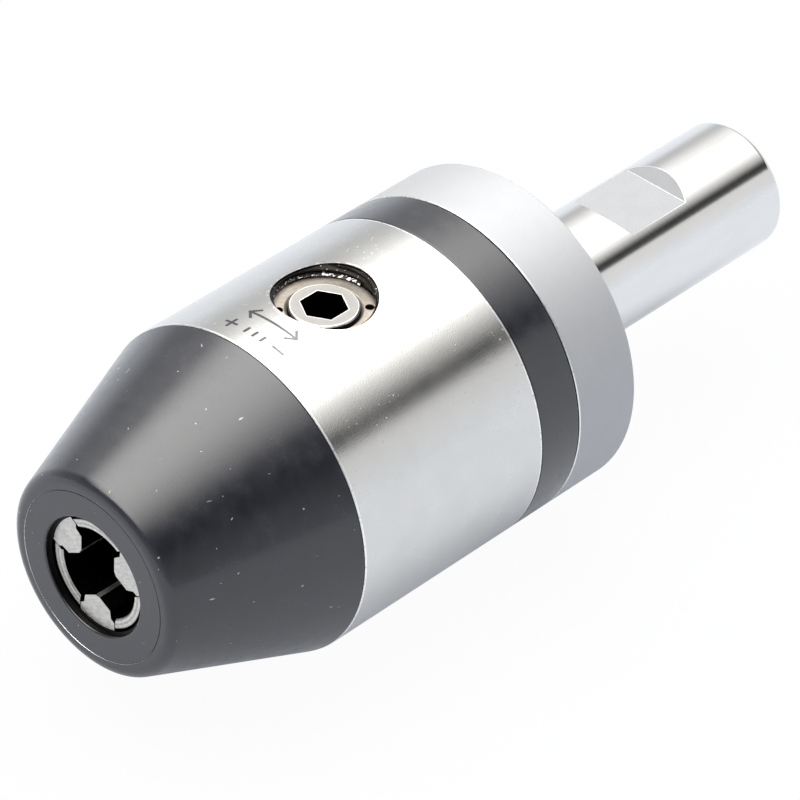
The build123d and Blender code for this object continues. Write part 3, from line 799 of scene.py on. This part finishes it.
class CHUCK_OT_adapter(bpy.types.Operator):
    """Turn the flange and shank, and mill the clamping flat with its two ramps"""

    bl_idname = "chuck.adapter"
    bl_label = "Adapter with shank"

    def flat_cutter(self, s):
        """Return what the milling cutter takes off the shank."""
        depth = s.shank_radius - s.flat_height + 1 * MM
        bm = bmesh.new()
        bmesh.ops.create_cube(bm, size=1.0)
        bmesh.ops.scale(bm, vec=(s.flat_length, 3 * s.shank_radius, depth), verts=bm.verts)
        top = [v for v in bm.verts if v.co.z > 0]
        bmesh.ops.scale(bm, vec=((s.flat_length + 2 * depth) / s.flat_length, 1, 1), verts=top)
        bmesh.ops.translate(bm, vec=(s.flat_centre, 0, s.flat_height + depth / 2), verts=bm.verts)
        return bm

    def beside_flat(self, x, s, margin=0.0):
        """Tell whether a place along the shank lies within the flat and its ramps."""
        return abs(x - s.flat_centre) < s.flat_length / 2 + s.shank_radius - s.flat_height + margin

    def on_flat(self, edge, s):
        """Tell whether an edge bounds the clamping flat or one of its ramps."""
        x, y, z = (edge.verts[0].co + edge.verts[1].co) / 2
        return self.beside_flat(x, s, 0.1 * MM) and z > s.flat_height - 0.05 * MM

    def on_shank(self, face, s):
        """Tell whether a face lies on the shank."""
        return face.center.x > 0.02 * MM and off_axis(face) < s.shank_radius + 0.1 * MM

    def is_milled(self, face, s):
        """Tell whether a face is the clamping flat or one of its ramps."""
        x, y, z = face.center
        below = self.on_shank(face, s) and off_axis(face) < s.shank_radius - 0.02 * MM and z > 0
        return below and self.beside_flat(x, s) and (face.normal.z > 0.99 or abs(face.normal.x) > 0.5)

    def execute(self, context):
        s = sizes()
        thread = HOUSING_RADIUS - REAR_JOINT_WALL - 0.05 * MM
        bush_floor = BUSH_END + 0.1 * MM
        tail_bore = 8.6 * MM
        edge = 0.14 * MM
        relief = 0.15 * MM
        chamfer = 0.4 * MM
        end = s.shank_round
        outline = [
            (TAIL_BORE_END, 0),
            (TAIL_BORE_END, tail_bore),
            (bush_floor, tail_bore),
            (bush_floor, BUSH_RADIUS),
            (BEARING_SEAT, BUSH_RADIUS),
            (BEARING_SEAT, GEAR_SPACE),
            (CUP_FRONT, GEAR_SPACE),
            (CUP_FRONT, thread),
            *seal_space(BODY_REAR - SEAL_LAND - SEAL_GROOVE, thread),
            (RING_REAR, thread),
            (RING_REAR, TURNED_RADIUS - edge),
            (RING_REAR + edge, TURNED_RADIUS),
            (-chamfer, TURNED_RADIUS),
            (0, TURNED_RADIUS - chamfer),
            (0, s.shank_radius + relief),
            (relief, s.shank_radius),
            *arc((SHANK_END - end, s.shank_radius - end), end, pi / 2, 0.0, 8),
            (SHANK_END, 0),
        ]
        piece = as_object("adapter_shell", spun(outline, s.turned_steps))
        carve(piece, self.flat_cutter(s))
        round_edges(piece, 0.02 * MM, keep=lambda e: self.on_flat(e, s))
        piece.modifiers.clear()
        round_edges(piece, 0.07 * MM, keep=lambda e: not self.on_flat(e, s))

        # The flange's face inside the seam gap is near-black: oil and painted shade in the gap.
        def in_seam(face):
            out = off_axis(face) > TURNED_RADIUS - 3 * MM
            return out and face.center.x < RING_REAR + 0.01 * MM and face.normal.x < -0.9

        # The flange's front chamfer gets the near-white painted highlight line.
        def on_front_chamfer(face):
            out = off_axis(face) > TURNED_RADIUS - 0.12 * MM
            return out and abs(face.center.x - RING_REAR - edge / 2) < 0.1 * MM

        faced = turned_steel("faced_shoulder_steel", colours().matt_steel, 0.7, 0.4, 1.1)
        finish_piece(
            piece, "adapter", "matt_steel", matt_flange_steel(),
            (polished_shank_steel(), lambda face: self.on_shank(face, s)),
            (milled_flat_steel(), lambda face: self.is_milled(face, s)),
            (faced, lambda face: face.normal.x > 0.999),
            (oil_and_painted_shade_steel("oil_and_painted_shade_seam_steel"), in_seam),
            (rubbed_edge_painted_highlight_steel(), on_front_chamfer),
        )
        return {"FINISHED"}


def softened(node, width):
    """Return a new piece that has the shape of a CAD node, with its edges rounded."""
    bm = bmesh.new()
    bm.from_mesh(frame["nodes"][node].data)
    bmesh.ops.remove_doubles(bm, verts=bm.verts, dist=0.5e-6)
    bmesh.ops.dissolve_limit(bm, angle_limit=radians(0.3), verts=bm.verts, edges=bm.edges)
    piece = as_object(f"{node}_soft", bm)
    round_edges(piece, width, segments=2, sharper_than=30.0)
    return piece


class CHUCK_OT_jaws(bpy.types.Operator):
    """Soften the three jaws, ground on their front and on the land that grips the drill"""

    bl_idname = "chuck.jaws"
    bl_label = "Jaws"

    def execute(self, context):
        ground = ground_jaw_steel()
        # The jaws' walls, all but the ground front and the land, are near-black: painted shade in the gaps
        # and the throat.
        oiled = oil_and_painted_shade_steel("painted_shade_jaw_steel")
        for node in ("jaw_1", "jaw_2", "jaw_3"):
            piece = softened(node, sizes().small_edge_round)
            land = min(off_axis(face) for face in piece.data.polygons if face.area > 1 * MM * MM)
            finish_piece(
                piece, node, "jaw_steel", ground,
                (oiled, lambda face: face.normal.x > -0.45 and off_axis(face) >= land + 0.03 * MM),
            )
        return {"FINISHED"}


class CHUCK_OT_jaw_guide(bpy.types.Operator):
    """Soften the jaw guide, faced on its front between the jaws"""

    bl_idname = "chuck.jaw_guide"
    bl_label = "Jaw guide"

    def execute(self, context):
        piece = softened("jaw_guide", sizes().small_edge_round)
        behind = JAW_FRONT + 1.5 * MM
        finish_piece(
            piece, "jaw_guide", "hardened_steel",
            turned_steel("faced_guide_steel", colours().jaw_steel, 0.634, 0.42, 3.2),
            # Walls behind the guide's front face are near-black: painted shade between the jaws.
            (oil_and_painted_shade_steel("painted_shade_guide_steel"), lambda face: face.normal.x > -0.3 or face.center.x > behind),
        )
        return {"FINISHED"}


class CHUCK_OT_pinion(bpy.types.Operator):
    """Soften the pinion and its retaining ring, with painted shade in the hexagon and in the spanner holes"""

    bl_idname = "chuck.pinion"
    bl_label = "Pinion and retaining ring"

    def execute(self, context):
        rounding = 0.09 * MM
        on_pinion = {"centre": (WELL_X, 0, 0), "axis": "Z"}
        pinion = softened("bevel_pinion", rounding)
        self.band_the_face(pinion, 0.1 * MM)
        finish_piece(
            pinion, "bevel_pinion", "jaw_steel",
            turned_steel("faced_pinion_steel", colours().pinion_steel, 1.885, 0.55, **on_pinion),
            # The hexagon socket's walls are near-black: painted shade in the socket.
            (oil_and_painted_shade_steel("painted_shade_socket_steel"), lambda face: face.center.z < PINION_FACE - 0.3 * MM),
            # The band and the rounded rims of the pinion's face get the near-white painted highlight line.
            (rubbed_edge_painted_highlight_steel(), self.on_rim),
        )
        ring = softened("pinion_retainer", rounding)
        thread = sizes().well_radius - 0.3 * MM
        finish_piece(
            ring, "pinion_retainer", "retainer_steel",
            turned_steel("turned_retainer_steel", colours().retainer_steel, 1.885, 0.6, 2.4, **on_pinion),
            # The spanner holes get a dark brown: painted shade in the holes.
            (oil_and_painted_shade_steel("painted_shade_hole_steel", colours().hole_steel), self.in_spanner_hole),
            # The ring's threaded edge takes the thread's dark colour and its painted glints.
            (cut_thread_steel(), lambda face: face.normal.z < 0.95 and off_well(face) > thread),
        )
        return {"FINISHED"}

    def band_the_face(self, pinion, width):
        """Mark off a narrow band along the rims of the pinion's face for a painted highlight line, partly
        edges rubbed bright.
        """
        bm = bmesh.new()
        bm.from_mesh(pinion.data)
        top = PINION_FACE - 0.01 * MM
        face = [f for f in bm.faces if f.normal.z > 0.999 and f.calc_center_median().z > top]
        for band in bmesh.ops.inset_region(bm, faces=face, thickness=width, use_even_offset=True)["faces"]:
            band.smooth = True
            band.material_index = 2
        bm.to_mesh(pinion.data)
        bm.free()

    def on_rim(self, face):
        """Tell whether a face belongs to the rounded rims of the pinion's face."""
        return 0.2 < face.normal.z < 0.95 and face.center.z > PINION_FACE - 0.4 * MM

    def in_spanner_hole(self, face):
        """Tell whether a face lies in one of the ring's two spanner holes."""
        beside = 5.3 * MM < off_well(face) < 7.2 * MM
        return beside and PINION_FACE - 2.2 * MM < face.center.z < RETAINER_FACE - 0.2 * MM


class CHUCK_OT_inner_pieces(bpy.types.Operator):
    """Give the spindle, gear, bearing, bushes and seals inside the housing their finishes"""

    bl_idname = "chuck.inner_pieces"
    bl_label = "Inner pieces"

    def execute(self, context):
        turned = turned_steel("turned_hardened_steel", colours().turned_steel, 2.5)
        finishes = {
            turned: (
                "guide_key", "bevel_gear", "bearing_washer_front", "bearing_washer_rear", "needle_rollers",
            ),
            turned_bronze(): ("gear_bush", "gear_front_washer", "pinion_washer", "needle_cage"),
            seal_rubber(): ("nose_seal", "rear_seal"),
            oil_and_painted_shade_steel("oiled_spindle_steel"): ("spindle",),
        }
        for material, nodes in finishes.items():
            for node in nodes:
                slots = frame["nodes"][node].data.materials
                slots.clear()
                slots.append(material)
        return {"FINISHED"}


class CHUCK_OT_markings(bpy.types.Operator):
    """Lay the laser marked arrow, plus, minus and ticks on the body beside the key well"""

    bl_idname = "chuck.markings"
    bl_label = "Markings"

    def stroke(self, bm, start, end, width):
        """Add one line between two points of (x, arc) on the flattened body."""
        first, last = Vector((*start, 0)), Vector((*end, 0))
        along = last - first
        made = bmesh.ops.create_cube(bm, size=1.0)["verts"]
        bmesh.ops.scale(bm, vec=(along.length + width, width, 0.03 * MM), verts=made)
        edges = list({e for v in made for e in v.link_edges if abs(e.verts[0].co.x - e.verts[1].co.x) > 1e-9})
        bmesh.ops.subdivide_edges(bm, edges=edges, cuts=12)
        strip = [v for v in bm.verts if v.tag is False]
        turn = Matrix.Rotation(along.to_2d().angle_signed(Vector((1, 0))), 4, "Z")
        bmesh.ops.transform(bm, matrix=Matrix.Translation((first + last) / 2) @ turn, verts=strip)
        for v in bm.verts:
            v.tag = True

    def execute(self, context):
        width = sizes().mark_width
        bm = bmesh.new()
        arrow_row = BODY_FRONT + 7.0 * MM
        sign_row = BODY_FRONT + 3.4 * MM
        reach = 4.4 * MM
        head = 1.1 * MM
        sign = 0.9 * MM
        tick_spacing = 1.5 * MM
        self.stroke(bm, (arrow_row, -reach), (arrow_row, reach), width)
        for side in (-reach, reach):
            barb = side * (1 - head / reach)
            self.stroke(bm, (arrow_row, side), (arrow_row - head, barb), width)
            self.stroke(bm, (arrow_row, side), (arrow_row + head, barb), width)
            self.stroke(bm, (sign_row, side - sign), (sign_row, side + sign), width)
        self.stroke(bm, (sign_row - sign, reach), (sign_row + sign, reach), width)
        for place in (-tick_spacing, 0, tick_spacing):
            self.stroke(bm, (sign_row - sign / 2, place), (sign_row + sign / 2, place), width)
        for v in bm.verts:
            radius = HOUSING_RADIUS - 0.016 * MM + v.co.z
            turn = v.co.y / HOUSING_RADIUS
            v.co = Vector((v.co.x, radius * sin(turn), radius * cos(turn)))
        bmesh.ops.recalc_face_normals(bm, faces=bm.faces)
        fit_to_body(as_object("laser_markings", bm), laser_mark())
        return {"FINISHED"}


class CHUCK_OT_stage(bpy.types.Operator):
    """Set the pale floor, the soft light all round and the camera"""

    bl_idname = "chuck.stage"
    bl_label = "Studio"

    def floor(self):
        """Lay a large pale floor under the body, whose shadow the camera sees only faintly."""
        bm = bmesh.new()
        place = Matrix.Translation((0, 0, -HOUSING_RADIUS - 0.02 * MM))
        bmesh.ops.create_circle(bm, cap_ends=True, segments=96, radius=6.0, matrix=place)
        floor = as_object("floor", bm)
        finish = Finish("floor", colours().floor, metallic=0.0, specular=0.0)
        seen = finish.add("LightPath").outputs["Is Camera Ray"]
        bounce = finish.add("Emission", {"Color": (0.957, 1.0, 1.07), "Strength": 1.14})
        white = finish.add("Emission", {"Color": (1, 1, 1), "Strength": 1.0})
        glow = finish.add("MixShader", {0: seen, 1: bounce.outputs[0], 2: white.outputs[0]})
        share = finish.total((seen, 0.3, 0.96))
        mixed = finish.add("MixShader", {0: share, 1: finish.shader.outputs[0], 2: glow.outputs[0]})
        finish.fill(finish.shader, {"Roughness": 0.9})
        finish.fill(finish.tree.nodes["Material Output"], {"Surface": mixed.outputs[0]})
        floor.data.materials.append(finish.material)

    def wall(self, sky, height, *stops):
        """Return a wall's brightness, which changes with the elevation, from (degrees, value) stops."""
        ramp = sky.add("ValToRGB", {"Fac": height})
        while len(ramp.color_ramp.elements) < len(stops):
            ramp.color_ramp.elements.new(0.5)
        for element, (elevation, value) in zip(ramp.color_ramp.elements, stops):
            element.position = (sin(radians(elevation)) + 1) / 2
            element.color = (*[value / 2] * 3, 1)
        return sky.total((ramp.outputs["Color"], 0.0, 2.0))

    def walls(self, sky, x, y, z):
        """Return how bright the walls are: to the right, in front and behind the chuck."""
        height = sky.add("MapRange", {"Value": z, "From Min": -1.0}).outputs[0]
        right = self.wall(
            sky, height, (0, 1.08), (14, 0.94), (25.5, 0.88), (28, 0.1), (33.5, 0.03), (36, 0.18), (39, 0.55),
            (43.5, 0.85), (49, 0.6),
        )
        front = self.wall(
            sky, height, (0, 0.64), (8, 0.54), (14, 0.46), (24, 0.28), (33, 0.07), (44, 0.08), (60, 0.38)
        )
        behind = self.wall(
            sky, height, (-90, 1.1), (0, 1.08), (6, 0.92), (14, 0.68), (22, 0.76), (36, 1.25), (44, 0.8)
        )
        near = sky.total((sky.area((x, 0.05, 0.5)), front, right))
        return sky.total((sky.area((y, -0.1, 0.3), (x, -0.45, 0.05)), near, behind))

    def soft_box(self, sky, x, y, z):
        """Return how bright the box overhead is, with soft edges given as slopes from straight up."""
        up = sky.add("Math", {0: z, 1: 0.05}, operation="MAXIMUM").outputs[0]
        across = sky.add("Math", {0: x, 1: up}, operation="DIVIDE").outputs[0]
        depth = sky.add("Math", {0: y, 1: up}, operation="DIVIDE").outputs[0]
        edges = ((across, 1.1, 0.55), (across, -1.5, -0.9), (depth, -0.8, 0.12), (depth, 1.3, 0.45))
        return sky.area(*edges, level=4.6)

    def light(self):
        """Hang one wide soft box overhead, with a dark gap and white walls round the chuck."""
        world = bpy.data.worlds.new("studio")
        world.use_nodes = True
        sky = Shading(world.node_tree)
        direction = sky.add("TexCoord").outputs["Generated"]
        x, y, z = sky.add("SeparateXYZ", {"Vector": direction}).outputs
        tone = sky.add("ValToRGB", {"Fac": z})
        cool_low, white_high = tone.color_ramp.elements
        cool_low.color = (0.9, 0.94, 1.0, 1)
        white_high.color = (1.0, 1.0, 0.99, 1)
        white_high.position = 0.36
        cool = sky.add("Background", {"Color": tone.outputs["Color"], "Strength": self.walls(sky, x, y, z)})
        warm = sky.add("Background", {"Color": (1.01, 1.0, 0.965), "Strength": self.soft_box(sky, x, y, z)})
        both = sky.add("AddShader", {0: cool.outputs[0], 1: warm.outputs[0]})
        sky.fill(sky.tree.nodes["World Output"], {"Surface": both.outputs[0]})
        bpy.context.scene.world = world

    def camera(self):
        """Stand the camera where the photograph was taken from."""
        data = bpy.data.cameras.new("camera")
        data.lens = 247.7
        data.sensor_width = 36.0
        data.clip_start = 0.01
        data.clip_end = 20.0
        data.dof.use_dof = False
        camera = bpy.data.objects.new("camera", data)
        bpy.context.scene.collection.objects.link(camera)
        eye = Vector((-0.4821, -0.4094, 0.4712))
        right = Vector((0.6848, -0.7277, 0.0366)).normalized()
        forward = Vector((0.5925, 0.5268, -0.6094))
        back = -(forward - right * forward.dot(right)).normalized()
        turn = Matrix((right, back.cross(right), back)).transposed()
        camera.matrix_world = Matrix.Translation(eye) @ turn.to_4x4()
        bpy.context.scene.camera = camera

    def execute(self, context):
        self.floor()
        self.light()
        self.camera()
        bpy.context.scene.view_settings.view_transform = "Standard"
        return {"FINISHED"}


OPERATORS = (
    CHUCK_OT_nose_cone,
    CHUCK_OT_body,
    CHUCK_OT_well_thread,
    CHUCK_OT_lock_ring,
    CHUCK_OT_adapter,
    CHUCK_OT_jaws,
    CHUCK_OT_jaw_guide,
    CHUCK_OT_pinion,
    CHUCK_OT_inner_pieces,
    CHUCK_OT_markings,
    CHUCK_OT_stage,
)


class CHUCK_PT_sidebar(bpy.types.Panel):
    """Buttons and sizes of the drill chuck"""

    bl_idname = "CHUCK_PT_sidebar"
    bl_label = "Drill chuck"
    bl_space_type = "VIEW_3D"
    bl_region_type = "UI"
    bl_category = "Chuck"

    def draw(self, context):
        for operator in OPERATORS:
            self.layout.operator(operator.bl_idname)
        for group in (context.scene.chuck_sizes, context.scene.chuck_colours):
            box = self.layout.box()
            for name in group.bl_rna.properties.keys():
                if name not in ("rna_type", "name"):
                    box.prop(group, name)


CLASSES = (ChuckSizes, ChuckColours, *OPERATORS, CHUCK_PT_sidebar)


def register():
    """Add the classes and the scene's sizes and colours."""
    for cls in CLASSES:
        bpy.utils.register_class(cls)
    bpy.types.Scene.chuck_sizes = bpy.props.PointerProperty(type=ChuckSizes)
    bpy.types.Scene.chuck_colours = bpy.props.PointerProperty(type=ChuckColours)


def unregister():
    """Take the classes and properties away again."""
    del bpy.types.Scene.chuck_sizes
    del bpy.types.Scene.chuck_colours
    for cls in reversed(CLASSES):
        bpy.utils.unregister_class(cls)


def main():
    """Build the whole chuck and its studio."""
    register()
    for operator in OPERATORS:
        group, name = operator.bl_idname.split(".")
        getattr(getattr(bpy.ops, group), name)()


if __name__ == "__main__":
    main()
